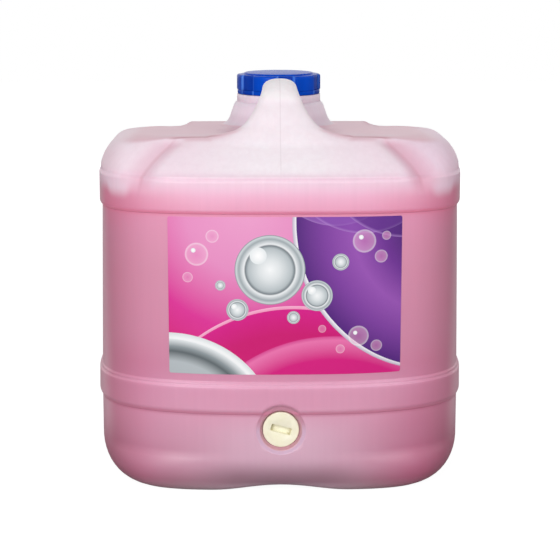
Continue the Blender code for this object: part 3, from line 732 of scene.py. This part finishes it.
def natural_hdpe():
    """Milky polyethylene: rose where the liquid shows through it, and pale lilac above the liquid's surface.

    Places are in metres. The turn round the drum is in radians, from 0 on the front and the rear to the sides.
    """
    material, tree, shader, place = new_material("natural_hdpe")
    axes = add(tree, "SeparateXYZ", {0: place}).outputs
    x, y, height = axes["X"], axes["Y"], axes["Z"]
    side = add(tree, "Math", {0: x}, operation='ABSOLUTE')
    depth = add(tree, "Math", {0: y}, operation='ABSOLUTE')
    turn = add(tree, "Math", {0: side, 1: depth}, operation='ARCTAN2')
    facing = add(tree, "SeparateXYZ", {0: add(tree, "NewGeometry").outputs["Normal"]}).outputs["Z"]

    # The liquid, with painted light and shade: painted light just below its surface, a painted highlight on the lower
    # band's edge, painted shade at the sides, on the right and under the base, and painted light low in the middle,
    # where light comes up through the base. The very edges take painted light again.
    share = add(tree, "MapRange", {"Value": height, "From Max": FILL_HEIGHT})
    rose = add(tree, "ValToRGB", {0: share}, stops=[
        (0.0, "B79CA4"), (0.045, "AC7A8C"), (0.09, "C48FA5"), (0.27, "DC9CB7"), (0.352, "DC99B6"), (0.368, "E2A5C1"),
        (0.384, "D690AE"), (0.43, "D48AA8"), (0.75, "D88EAB"), (0.90, "E092B2"), (0.95, "EDA6C3"), (1.0, "F4BBD5"),
    ])
    # Painted shade for the sides: rosier at the upper band and darker low down.
    painted_side_shade = tinted(tree, linear("BC7087"), ("CC6482", 1.0, (height, 0.200, 0.226)),
                  ("9C5066", 1.0, (height, 0.062, 0.030)))
    rose = tinted(
        tree, rose,
        ("E6C6D8", 0.50, (side, 0.085, 0.010), (height, 0.075, 0.045)),
        ("7E5664", 0.62, (side, 0.080, 0.030), (height, 0.032, 0.012), (height, 0.004, 0.010)),
        ("A8446A", 0.18, (side, 0.060, 0.110), (height, 0.045, 0.030)),
        ("C8467C", 0.22, (side, 0.075, 0.120), (height, 0.130, 0.095)),
        ("B03C6A", 0.32, (x, 0.050, 0.110), (height, 0.100, 0.050)),
        ("CC4F78", 0.34, (side, 0.050, 0.118), (height, 0.214, 0.226)),
        (painted_side_shade, 0.66, (side, 0.098, 0.143)),
        ("DCA8B8", 0.92, (turn, 0.960, 1.110), (height, 0.018, 0.062)),
    )

    # The empty top: nearly white on the front and the handle, with painted light on the handle's top, rosier at the
    # sides, with painted shade at the corners and on the right, and rosier above the liquid. A fine line of painted
    # shade runs along the band's top. The top is greyer on the neck, with painted shade on the neck's sides and on the
    # level deck where it faces up.
    on_neck = (y, -0.002, 0.010)
    low_deck = (height, 0.287, 0.278)
    pale = tinted(
        tree, linear("FBEFF6"),
        ("E9C4D6", 0.44, (side, 0.008, 0.085)),
        ("EADFE5", 0.55, (height, 0.272, 0.286), (height, 0.304, 0.298)),
        ("FCF9FA", 0.60, (height, 0.300, 0.307)),
        ("D2A2B4", 0.56, (turn, 0.80, 0.90), (side, 0.118, 0.143)),
        ("E2AAD4", 0.20, (x, 0.080, 0.115)),
        ("EECADC", 0.66, (height, 0.256, 0.248)),
        ("DCAEC4", 0.34, (height, 0.2476, 0.2484), (height, 0.2500, 0.2492), (turn, 0.74, 0.68)),
        ("ECD8EA", 0.50, (height, 0.271, 0.276), on_neck),
        ("BC96A8", 0.30, (height, 0.286, 0.279), on_neck, (side, 0.056, 0.046)),
        ("E6B8C6", 1.0, (facing, 0.84, 0.98), low_deck, (side, 0.134, 0.110)),
        ("E3BFCB", 0.9, (facing, 0.80, 1.0), low_deck, (side, 0.108, 0.085), (y, -0.045, -0.086)),
    )

    # The liquid's surface shows as a long soft change on the front. Round the corners it is shorter, and a soft bow of
    # painted light dips below each pad.
    away = add(tree, "Math", {0: turn, 1: 0.880}, operation='SUBTRACT')
    away = add(tree, "Math", {0: away, 1: 2.0}, operation='POWER')
    painted_light_bow = add(tree, "MapRange", {"Value": away, "From Max": 0.0100, "To Min": 0.0045, "To Max": 0.0},
              interpolation_type='SMOOTHERSTEP')
    dipped = add(tree, "Math", {0: height, 1: painted_light_bow}, operation='ADD')
    corner = tinted(tree, rose, (pale, 1.0, (dipped, 0.2345, 0.2460)))

    # Corner grooves: a soft valley of painted rosy shade, wider on the side of the pads and deeper on the right, with
    # a fine line of painted shade along its middle.
    off = add(tree, "Math", {0: turn, 1: GROOVE_ANGLE}, operation='SUBTRACT')
    apart = add(tree, "Math", {0: off}, operation='ABSOLUTE')
    run = [(height, 0.230, 0.246), (height, 0.2775, 0.2700), (facing, 0.975, 0.920)]

    # The front edge of the deck, between the grooves and the handle, has a line of painted shade.
    edge = add(tree, "Math", {0: depth, 1: 0.0852}, operation='SUBTRACT')
    edge = add(tree, "Math", {0: edge}, operation='ABSOLUTE')

    # The flat round the bung: painted rosy shade under the band above it, and painted light, lilac, below. Painted
    # light also lifts the well's wall inside it.
    flat = add(tree, "VectorMath", {0: place, 1: (1, 0, 1)}, operation='MULTIPLY')
    flat = add(tree, "VectorMath", {0: flat, 1: (0, 0, BUNG_HEIGHT)}, operation='DISTANCE').outputs["Value"]
    ring = tinted(tree, linear("D0AEC6"), ("C28698", 1.0, (height, 0.050, 0.062)))

    # Uneven wall: broad clouds about 60 mm wide, and faint flow lines down the wall.
    cloud = add(tree, "TexNoise", {"Vector": place, "Scale": 16, "Detail": 3, "Roughness": 0.55})
    flow = add(tree, "VectorMath", {0: place, 1: (260, 260, 9)}, operation='MULTIPLY')
    lines = add(tree, "TexNoise", {"Vector": flow, "Scale": 1, "Detail": 2})
    uneven = add(tree, "Math", {0: cloud, 1: lines}, operation='ADD')

    # Painted shade in creases, from ambient occlusion, deepest at the feet of the two bands, with painted light on the
    # bands' undersides just above their feet. The mould's parting line runs over the handle.
    crease_shade = add(tree, "AmbientOcclusion", {"Distance": 0.007}, samples=8, only_local=True).outputs["AO"]
    shade = tinted(tree, linear("B05A78"), ("B795A7", 1.0, (height, 0.236, 0.252)))
    band_foot_shading = []
    for foot, below, under in ((LOWER_BAND_FOOT, "BA6280", "DC84A2"), (UPPER_BAND_FOOT, "DC7494", "FF8EB0")):
        band_foot_shading += [
            (below, 0.45, (height, foot - 2.6 * MM, foot - 0.2 * MM), (height, foot + 1.2 * MM, foot + 0.2 * MM)),
            (under, 0.60, (height, foot + 0.1 * MM, foot + 0.7 * MM), (height, foot + 3.6 * MM, foot + 1.6 * MM)),
        ]
    colour = tinted(
        tree, rose,
        (pale, 1.0, (height, 0.2330, 0.2518)),
        (corner, 1.0, (turn, 0.76, 0.84)),
        ("CF86A2", 0.38, (off, 0.125, 0.000), (off, -0.090, -0.002), *run),
        ("C8708E", 0.24, (off, 0.140, 0.010), (off, -0.080, 0.000), (x, 0.06, 0.09), *run),
        ("C27C8E", 0.22, (apart, 0.016, 0.002), *run),
        ("B5707F", 0.6, (edge, 0.0018, 0.0003), (height, 0.268, 0.272), (side, 0.042, 0.056), (side, 0.090, 0.080)),
        (ring, 0.8, (flat, 0.0197, 0.0190), (y, -0.110, -0.116)),
        ("CE9CA8", 1.0, (flat, 0.0170, 0.0160), (y, -0.110, -0.116)),
        ("B5809A", 0.07, (uneven, 0.7, 1.3)),
        (shade, 0.30, (crease_shade, 0.92, 0.45)),
        *band_foot_shading,
        ("9A7A88", 0.14, (side, 0.0007, 0.0001), (height, 0.245, 0.262)),
    )
    grain = add(tree, "TexNoise", {"Vector": place, "Scale": 900, "Detail": 2})
    bump = add(tree, "Bump", {"Height": grain, "Strength": 0.06, "Distance": 0.0003})
    plug(tree, shader, {"Base Color": colour, "Normal": bump, "Roughness": 0.38, "IOR": 1.54,
                        "Subsurface Weight": 0.15, "Subsurface Radius": (1.0, 0.5, 0.6), "Subsurface Scale": 0.004})
    return material


own(blown_drum(), "drum", "drum_body", natural_hdpe())


# Hand wash: pearly pink liquid soap that fills the drum to its trade line. From outside it shows as the rose
# tint of the wall.

def pearly_soap():
    """Slow swirls of pearl in pink soap, under a wet surface."""
    material, tree, shader, place = new_material("pearly_soap")
    swirl = add(tree, "TexNoise", {"Vector": place, "Scale": 22, "Detail": 4, "Distortion": 1.6})
    pearl = add(tree, "ValToRGB", {0: swirl}, stops=[(0.3, "C9789A"), (0.5, "D88AA8"), (0.7, "EBB0C6")])
    plug(tree, shader, {"Base Color": pearl, "Roughness": 0.12, "IOR": 1.37})
    return material


soap = filling("soap", WALL + 0.4 * MM, FILL_HEIGHT)
boss_room = [(BOSS_RADIUS + 0.3 * MM, BOSS_END - 0.4 * MM), (BOSS_RADIUS + 0.3 * MM, BODY_END)]
join(soap, object_of("boss_room", *turned(boss_room, 96, '-Y', BUNG_PLACE)), 'DIFFERENCE')
smooth(soap.data, 38)
own(soap, "drum", "hand_wash", pearly_soap())


# Label: printed and varnished polypropylene film, stuck on the front panel and bent to it, with rounded corners.
# Its print is a generic design of fields, arcs and bubbles in pink, magenta, purple and silver.

LABEL_X = 3.1 * MM
LABEL_FOOT = 97.2 * MM
LABEL_TOP = 220.0 * MM
LABEL_HALF_WIDTH = 89.5 * MM
LABEL_CORNER = 1.3 * MM
LABEL_BACK = 0.06 * MM      # behind the film, for the adhesive
LABEL_THICKNESS = 0.20 * MM


def front_wall(x, z):
    """Y of the front panel."""
    half_x, half_y, powers = wall_section(z)
    return -half_y * (1 - (np.abs(x) / half_x) ** powers[0]) ** (1 / powers[1])


def label_film():
    """Two faces of film joined round the rim. Every column ends on the rounded corners."""
    across = np.array(spaced((-LABEL_HALF_WIDTH, 0.3 * MM), (-LABEL_HALF_WIDTH + LABEL_CORNER, 2.9 * MM),
                             (LABEL_HALF_WIDTH - LABEL_CORNER, 0.3 * MM), (LABEL_HALF_WIDTH, 0)))
    corner = np.clip(np.abs(across) - (LABEL_HALF_WIDTH - LABEL_CORNER), 0, LABEL_CORNER)
    cut = LABEL_CORNER - np.sqrt(LABEL_CORNER ** 2 - corner ** 2)
    up = np.linspace(0, 1, 29)
    z = (LABEL_FOOT + cut)[:, None] + (LABEL_TOP - LABEL_FOOT - 2 * cut)[:, None] * up
    x = np.repeat((across + LABEL_X)[:, None], len(up), axis=1)
    y = front_wall(x, z)
    columns, rows = x.shape
    points, faces = [], []
    for depth in (LABEL_BACK + LABEL_THICKNESS, LABEL_BACK):
        points += list(zip(x.ravel(), (y - depth).ravel(), z.ravel()))
    size = columns * rows
    for a in (i * rows + j for i in range(columns - 1) for j in range(rows - 1)):
        corners = (a, a + rows, a + rows + 1, a + 1)
        faces += [corners, tuple(size + c for c in corners[::-1])]
    rim = [i * rows for i in range(columns)] + [(columns - 1) * rows + j for j in range(1, rows)]
    rim += [i * rows + rows - 1 for i in range(columns - 2, -1, -1)] + list(range(rows - 2, 0, -1))
    return points, faces + [(a, size + a, size + b, b) for a, b in zip(rim, rim[1:] + rim[:1])]


def printed_film():
    """Glossy print: magenta and pink, a purple field with a silver edge, silver bubbles and a silver corner."""
    material, tree, shader, place = new_material("printed_film")
    flat = add(tree, "VectorMath", {0: place, 1: (1 / MM, 0, 1 / MM)}, operation='MULTIPLY')
    corner = ((LABEL_X - LABEL_HALF_WIDTH) / MM, 0, LABEL_FOOT / MM)
    flat = add(tree, "VectorMath", {0: flat, 1: corner}, operation='SUBTRACT')

    # Everything is a disc: x, z and radius in millimetres from the label's lower left corner, its colours from the
    # middle to the rim, and how much it covers. The big ones are fields, and their rims are the arcs.
    lilac = [[(0.0, shade), (0.97, shade), (1.0, "B48AD0")] for shade in ("9A62BC", "7C3FA6", "4A1478")]
    silver = [(0.0, "F4F6F7"), (0.30, "DDE2E4"), (0.62, "B4BDC1"), (0.70, "6E787E"), (0.74, "E9ECEE"),
              (0.88, "9BA6AB"), (0.96, "CDD4D7"), (1.0, "7A858B")]
    clear = [(0.0, "E48CC0"), (0.80, "F0B4D4"), (0.92, "FFFFFF"), (1.0, "F3C4DC")]
    glint = [(0.0, "FFFFFF"), (1.0, "E4E9EB")]
    discs = [
        (62, 128, 400, [(0.0, "EA9ECA"), (0.12, "E48CC0"), (0.23, "DA2A94"), (0.375, "CE0456"), (1.0, "CE0456")], 1),
        (96, -68, 122, [(0.0, "D8328C"), (0.80, "D6187F"), (0.955, "E04A98"), (1.0, "F6B4D2")], 1),
        (96, -70.5, 122, [(0.0, "D21073"), (0.84, "C9036E"), (1.0, "D30C86")], 1),
        (126, -92, 122, [(0.0, "D0107A"), (0.85, "D4127F"), (0.975, "EE7FB8"), (1.0, "D94796")], 0.8),
        (214, 118, 119, [(0.0, "5A1A86"), (0.94, "A9A2B2"), (0.975, "F2F0F5"), (1.0, "B9AFC4")], 1),
        (216, 119, 118, [(0.0, "2C0654"), (0.25, "3C0C66"), (0.45, "6B2A90"), (0.64, "9550B0"), (0.82, "7B3A9C"),
                         (1.0, "4E1878")], 1),
        (128, 168, 52, lilac[0], 0.55), (150, 172, 62, lilac[1], 0.55), (184, 176, 70, lilac[2], 0.55),
        (2, -50, 82, [(0.0, "8E979C"), (0.86, "C9D0D3"), (0.95, "F4F6F7"), (1.0, "D9DEE0")], 1),
        (0, -53, 80, [(0.0, "9BA4A8"), (0.78, "B4BCC0"), (0.88, "5B6468"), (0.93, "8D979B"), (1.0, "E3E8EA")], 1),
    ]
    for stops, most, places in (
        (silver, 1, ((78, 82, 27), (114, 62, 12), (53, 51, 8.5), (132, 88, 6.5), (96, 45, 5), (40, 70, 4))),
        (clear, 0.42, ((22, 94, 9), (34, 108, 5), (15, 76, 4), (146, 30, 8), (160, 22, 4.5), (132, 20, 3.5),
                       (150, 104, 9), (163, 92, 5), (167, 108, 3.5), (118, 36, 3))),
        (glint, 1, ((69, 93, 6.5), (110, 66, 3.2), (50.5, 53.5, 2.2), (19.5, 97, 1.8), (143.5, 32.5, 1.6),
                    (147.5, 107, 1.8))),
    ):
        discs += [(*spot, stops, most) for spot in places]
    colour = linear("CE0456")
    for x, z, radius, stops, most in discs:
        away = add(tree, "VectorMath", {0: flat, 1: (x, 0, z)}, operation='DISTANCE').outputs["Value"]
        away = add(tree, "Math", {0: away, 1: radius}, operation='DIVIDE')
        paint = add(tree, "ValToRGB", {0: away}, stops=stops)
        inside = add(tree, "Math", {0: away, 1: 1.0}, operation='LESS_THAN')
        inside = add(tree, "Math", {0: inside, 1: most}, operation='MULTIPLY')
        colour = add(tree, "Mix", {0: inside, 6: colour, 7: paint}, data_type='RGBA').outputs[2]

    ink = add(tree, "TexNoise", {"Vector": place, "Scale": 700, "Detail": 3})
    gloss = add(tree, "MapRange", {"Value": ink, "To Min": 0.27, "To Max": 0.31})
    plug(tree, shader, {"Base Color": colour, "Roughness": gloss, "IOR": 1.49})
    return material


own(object_of("label_film", *label_film(), 40), "drum", "front_label", printed_film())


# Screw cap: injection-moulded blue polypropylene, 58 mm class, with six wide lugs round its skirt, a raised disc on
# top and a thread ridge inside. It turns up off the neck.

CAP_LUGS = 6
LUG_DEPTH = 2.03
LUG_TURN = math.radians(21)
CAP_OUTLINE = [   # radius, height and share of a lug's depth, from the middle of the ceiling to the top
    (4, 315.0, 0), (29.0, 315.0, 0), (29.9, 314.7, 0), (30.2, 314.0, 0), (30.2, 304.3, 0), (30.5, 303.8, 0),
    (31.0, 303.6, 0), (32.4, 303.6, 0.85), (32.95, 303.6, 0.97), (33.1, 303.7, 1), (33.1, 307.0, 1),
    (33.1, 310.5, 1), (33.1, 312.6, 1), (33.1, 313.6, 1), (33.08, 314.4, 0.99), (33.0, 315.0, 0.97),
    (32.75, 315.5, 0.92), (32.35, 315.8, 0.82), (31.8, 315.95, 0.66), (31.0, 316.0, 0.42), (30.2, 316.0, 0.16),
    (29.5, 316.02, 0), (29.25, 316.15, 0), (29.1, 316.5, 0), (28.95, 316.9, 0), (28.6, 317.12, 0), (28.0, 317.2, 0),
    (4, 317.2, 0),
]


def lugged(outline, columns_each=64):
    """Points and faces of a cap's outline turned round the neck's axis, with wide lugs that have soft edges."""
    steps = CAP_LUGS * columns_each
    points = []
    for radius, height, share in outline:
        for i in range(steps):
            at = (i / columns_each) % 1
            out = float(step(-0.005, 0.045, at) - step(0.595, 0.645, at))
            r = (radius + LUG_DEPTH * share * out) * MM
            turn = math.tau * i / steps + LUG_TURN
            points.append((r * math.sin(turn), NECK_Y - r * math.cos(turn), height * MM))
    return points, end_faces(len(points), steps) + grid_faces(len(outline), steps)


def blue_polypropylene():
    """Glossy dyed plastic with the faint ripple that a mould leaves."""
    material, tree, shader, place = new_material("blue_polypropylene")
    ripple = add(tree, "TexNoise", {"Vector": place, "Scale": 180, "Detail": 3})
    colour = add(tree, "ValToRGB", {0: ripple}, stops=[(0.3, "003CAE"), (0.7, "004CC8")])

    # Round the skirt, the lugs' edges are lighter with painted highlights, and the hollows between the lugs are darker
    # with painted shade.
    centred = add(tree, "VectorMath", {0: place, 1: NECK_FOOT}, operation='SUBTRACT')
    axes = add(tree, "SeparateXYZ", {0: centred}).outputs
    ahead = add(tree, "Math", {0: axes["Y"], 1: -1}, operation='MULTIPLY')
    turn = add(tree, "Math", {0: axes["X"], 1: ahead}, operation='ARCTAN2')
    turn = add(tree, "Math", {0: turn, 1: LUG_TURN - math.tau}, operation='SUBTRACT')
    share = add(tree, "Math", {0: turn, 1: CAP_LUGS / math.tau}, operation='MULTIPLY')
    share = add(tree, "Math", {0: share}, operation='FRACT')
    hollow = "0036A2"
    band = add(tree, "ValToRGB", {0: share},
               stops=[(0.0, "2F6CD8"), (0.010, "5C92EC"), (0.035, "0044BA"),
                      (0.30, "004ECC"), (0.585, "0048C0"), (0.615, "5C94F0"),
                      (0.645, hollow), (0.965, hollow), (1.0, "2F6CD8")])
    out = add(tree, "VectorMath", {0: centred, 1: (1, 1, 0)}, operation='MULTIPLY')
    out = add(tree, "VectorMath", {0: out}, operation='LENGTH').outputs["Value"]
    on_skirt = add(tree, "MapRange", {"Value": out, "From Min": 0.0312, "From Max": 0.0326, "To Max": 0.8})
    colour = add(tree, "Mix", {0: on_skirt, 6: colour, 7: band}, data_type='RGBA').outputs[2]
    # Painted shade towards the cap's left and right sides.
    side = add(tree, "Math", {0: axes["X"]}, operation='ABSOLUTE')
    colour = tinted(tree, colour, ("002C8C", 0.55, (side, 0.029, 0.035)))
    bump = add(tree, "Bump", {"Height": ripple, "Strength": 0.08, "Distance": 0.0003})
    plug(tree, shader, {"Base Color": colour, "Normal": bump, "Roughness": 0.26, "IOR": 1.49,
                        "Specular IOR Level": 0.08})
    return material


blue = blue_polypropylene()
cap = object_of("cap_shell", *lugged(CAP_OUTLINE))
join(cap, object_of("cap_thread", *thread(30.2 * MM, -0.42 * MM, CAP_PITCH, 306.2 * MM, 1.1, NECK_Y)), 'UNION')
smooth(cap.data, 50)
own(cap, "cap", "screw_cap", blue)


# Tamper ring: moulded with the cap and joined to it by thin bridges, which break when the cap is first turned.
# It stays on the neck.

RING_OUTLINE = in_mm([
    (29.1, 300.2), (29.4, 299.9), (34.0, 299.9), (34.4, 300.1), (34.6, 300.6), (34.6, 303.2), (34.55, 303.38),
    (34.4, 303.44), (29.4, 303.44), (29.1, 303.1),
])
BRIDGES = 18
BRIDGE_OUT = 32.3 * MM
BRIDGE_OUTLINE = in_mm([(0.7, 302.9), (0.7, 303.47), (0.45, 303.56)])
ring = object_of("break_ring", *turned(RING_OUTLINE, 128, centre=NECK_FOOT, closed=True))
points, faces = [], []
for i in range(BRIDGES):
    turn = math.tau * i / BRIDGES
    centre = (BRIDGE_OUT * math.sin(turn), NECK_Y - BRIDGE_OUT * math.cos(turn), 0)
    peg_points, peg_faces = turned(BRIDGE_OUTLINE, 10, centre=centre)
    faces += [tuple(len(points) + i for i in face) for face in peg_faces]
    points += peg_points
join(ring, object_of("bridges", points, faces), 'UNION')
smooth(ring.data, 40)
own(ring, "drum", "tamper_ring", blue)


# Cap liner: a disc of white foam pressed into the cap, marked by the neck's lip that it seals on. It rides up
# with the cap.

def white_foam():
    """Matt closed-cell foam with fine pores."""
    material, tree, shader, place = new_material("white_foam")
    pores = add(tree, "TexVoronoi", {"Vector": place, "Scale": 1400})
    colour = add(tree, "ValToRGB", {0: pores}, stops=[(0.0, "D9D9D4"), (0.4, "EFEFEA")])
    bump = add(tree, "Bump", {"Height": pores, "Strength": 0.3, "Distance": 0.0003})
    plug(tree, shader, {"Base Color": colour, "Normal": bump, "Roughness": 0.75})
    return material


LINER_OUTLINE = in_mm([
    (23.8, 313.6), (24.2, 313.75), (28.2, 313.75), (28.5, 313.6), (29.0, 313.65), (29.3, 313.85), (29.4, 314.1),
    (29.4, 314.5), (29.2, 314.68), (29.0, 314.7),
])
own(object_of("foam_wad", *turned(LINER_OUTLINE, 128, centre=NECK_FOOT), 40), "cap_carrier", "cap_liner",
    white_foam())


# Bung: a cream moulded plug with a coin slot and a threaded shank, screwed into the boss at the foot of the front
# wall. It lets a tap be fitted.

BUNG_OUTLINE = in_mm([
    (9.0, 108.0), (9.7, 108.2), (10.2, 108.7), (10.4, 109.3), (10.4, 119.5), (10.7, 119.9), (11.0, 120.0),
    (13.5, 120.0), (13.95, 120.15), (14.2, 120.6), (14.2, 122.2), (14.1, 122.65), (13.85, 123.0), (13.5, 123.16),
    (13.1, 123.2),
])
SLOT_HALF = (8.0, 2.8)
SLOT_ROUND = 0.9
SLOT_TILT = math.radians(15)
SLOT_DEPTHS = [(118.9, -0.35), (119.05, -0.1), (119.3, 0), (122.9, 0), (123.1, 0.12), (123.3, 0.42), (124.5, 0.6)]


def coin_slot():
    """A cutter for the slot: a bar with round ends, a rounded floor and a softened mouth."""
    points = []
    for depth, wider in SLOT_DEPTHS:
        radius = SLOT_ROUND + wider
        for corner in range(4):
            for k in range(7):
                turn = math.radians(90 * corner + 15 * k)
                x = math.copysign(SLOT_HALF[0] - SLOT_ROUND, math.cos(math.radians(90 * corner + 45)))
                z = math.copysign(SLOT_HALF[1] - SLOT_ROUND, math.sin(math.radians(90 * corner + 45)))
                x, z = x + radius * math.cos(turn), z + radius * math.sin(turn)
                points.append(((x * math.cos(SLOT_TILT) + z * math.sin(SLOT_TILT)) * MM, -depth * MM,
                               (z * math.cos(SLOT_TILT) - x * math.sin(SLOT_TILT)) * MM + BUNG_HEIGHT))
    rows = len(SLOT_DEPTHS)
    around = len(points) // rows
    floor, mouth = tuple(range(around)), tuple(range(len(points) - around, len(points)))
    return points, [floor, mouth] + grid_faces(rows, around)


def cream_plastic():
    """Smooth cream moulding, a touch uneven in tone, with painted shade in its slot and creases."""
    material, tree, shader, place = new_material("cream_plastic")
    cloud = add(tree, "TexNoise", {"Vector": place, "Scale": 140, "Detail": 4})
    colour = add(tree, "ValToRGB", {0: cloud}, stops=[(0.3, "F4F0D2"), (0.7, "FAF7E0")])
    # Painted shade in the slot and the creases, from ambient occlusion.
    crease_shade = add(tree, "AmbientOcclusion", {"Distance": 0.004}, samples=8, only_local=True).outputs["AO"]
    colour = tinted(tree, colour, ("B9AE74", 1.0, (crease_shade, 0.80, 0.35)))
    bump = add(tree, "Bump", {"Height": cloud, "Strength": 0.08, "Distance": 0.0003})
    plug(tree, shader, {"Base Color": colour, "Normal": bump, "Roughness": 0.34, "IOR": 1.49})
    return material


bung = object_of("coin_bung", *turned(BUNG_OUTLINE, 144, '-Y', BUNG_PLACE))
points, faces = thread(10.4 * MM, 0.34 * MM, BUNG_PITCH, 110.4 * MM, 2.6)
points = [(x, -z, y + BUNG_HEIGHT) for x, y, z in points]
join(bung, object_of("bung_thread", points, faces), 'UNION')
join(bung, object_of("coin_slot", *coin_slot()), 'DIFFERENCE')
smooth(bung.data, 45)
own(bung, "bung", "bung", cream_plastic())


# Bung seal: a black rubber washer under the bung's head. It is pressed on the floor of the well when the bung is
# screwed home, and comes out with it.

def black_rubber():
    """Matt rubber with a fine grain."""
    material, tree, shader, place = new_material("black_rubber")
    grain = add(tree, "TexNoise", {"Vector": place, "Scale": 1500, "Detail": 4})
    colour = add(tree, "ValToRGB", {0: grain}, stops=[(0.3, "1B1B1B"), (0.7, "2A2A2A")])
    bump = add(tree, "Bump", {"Height": grain, "Strength": 0.2, "Distance": 0.0002})
    plug(tree, shader, {"Base Color": colour, "Normal": bump, "Roughness": 0.72})
    return material


SEAL_OUTLINE = in_mm([
    (10.9, 118.3), (13.6, 118.3), (13.8, 118.5), (13.8, 119.5), (13.6, 119.7), (10.9, 119.7), (10.7, 119.5),
    (10.7, 118.5),
])
own(object_of("seal_washer", *turned(SEAL_OUTLINE, 96, '-Y', BUNG_PLACE, closed=True), 40), "bung_carrier",
    "bung_seal", black_rubber())


# Floor and light: a white sweep, which the camera sees as pure white with a soft shadow, under three large soft lamps.
# Two stand in front of the drum, to the left and the right, and one lights its rear.

floor_mesh = bpy.data.meshes.new("floor")
floor_mesh.from_pydata([(-4, -4, 0), (4, -4, 0), (4, 4, 0), (-4, 4, 0)], [], [(0, 1, 2, 3)])
floor = bpy.data.objects.new("floor", floor_mesh)
bpy.context.scene.collection.objects.link(floor)

sweep = bpy.data.materials.new("white_sweep")
sweep.use_nodes = True
tree = sweep.node_tree
tree.nodes.clear()
rays = add(tree, "LightPath")
lit = add(tree, "BsdfDiffuse", {"Color": (0.14, 0.14, 0.14, 1)})
glow = add(tree, "Emission", {"Color": (1, 1, 1, 1), "Strength": 0.95})
seen = add(tree, "AddShader", {0: lit, 1: glow})
paper = add(tree, "BsdfDiffuse", {"Color": (0.42, 0.41, 0.41, 1)})
either = add(tree, "MixShader", {0: rays.outputs["Is Camera Ray"], 1: paper, 2: seen})
add(tree, "OutputMaterial", {"Surface": either})
floor_mesh.materials.append(sweep)

# The surroundings are white to the camera and in reflections, and dimmer as light.
world = bpy.data.worlds.new("studio")
world.use_nodes = True
tree = world.node_tree
tree.nodes.clear()
rays = add(tree, "LightPath")
direct = add(tree, "Math", {0: rays.outputs["Is Camera Ray"], 1: rays.outputs["Is Transmission Ray"]},
             operation='MAXIMUM')
clear = add(tree, "Math", {0: direct, 1: rays.outputs["Is Glossy Ray"]}, operation='MAXIMUM')
strength = add(tree, "MapRange", {"Value": clear, "To Min": 0.42, "To Max": 1.0})
shine = add(tree, "Background", {"Color": (1, 1, 1, 1), "Strength": strength})
add(tree, "OutputWorld", {"Surface": shine})
bpy.context.scene.world = world


def soft_box(name, place, power, mirrored=True):
    """A square lamp of 1 m at a place, turned to the drum. It need not show in glossy surfaces."""
    data = bpy.data.lights.new(name, 'AREA')
    data.energy = power
    data.size = 1.0
    lamp = bpy.data.objects.new(name, data)
    bpy.context.scene.collection.objects.link(lamp)
    lamp.location = place
    lamp.rotation_mode = 'QUATERNION'
    lamp.rotation_quaternion = (lamp.location - AIM).to_track_quat('Z', 'Y')
    lamp.visible_glossy = mirrored


soft_box("front_left", (-0.75, -1.7, 0.75), 19)
soft_box("front_right", (1.05, -1.5, 0.8), 9.5)
soft_box("rear", (0, 1.9, 0.45), 13, mirrored=False)

bpy.context.scene.view_settings.view_transform = 'Standard'
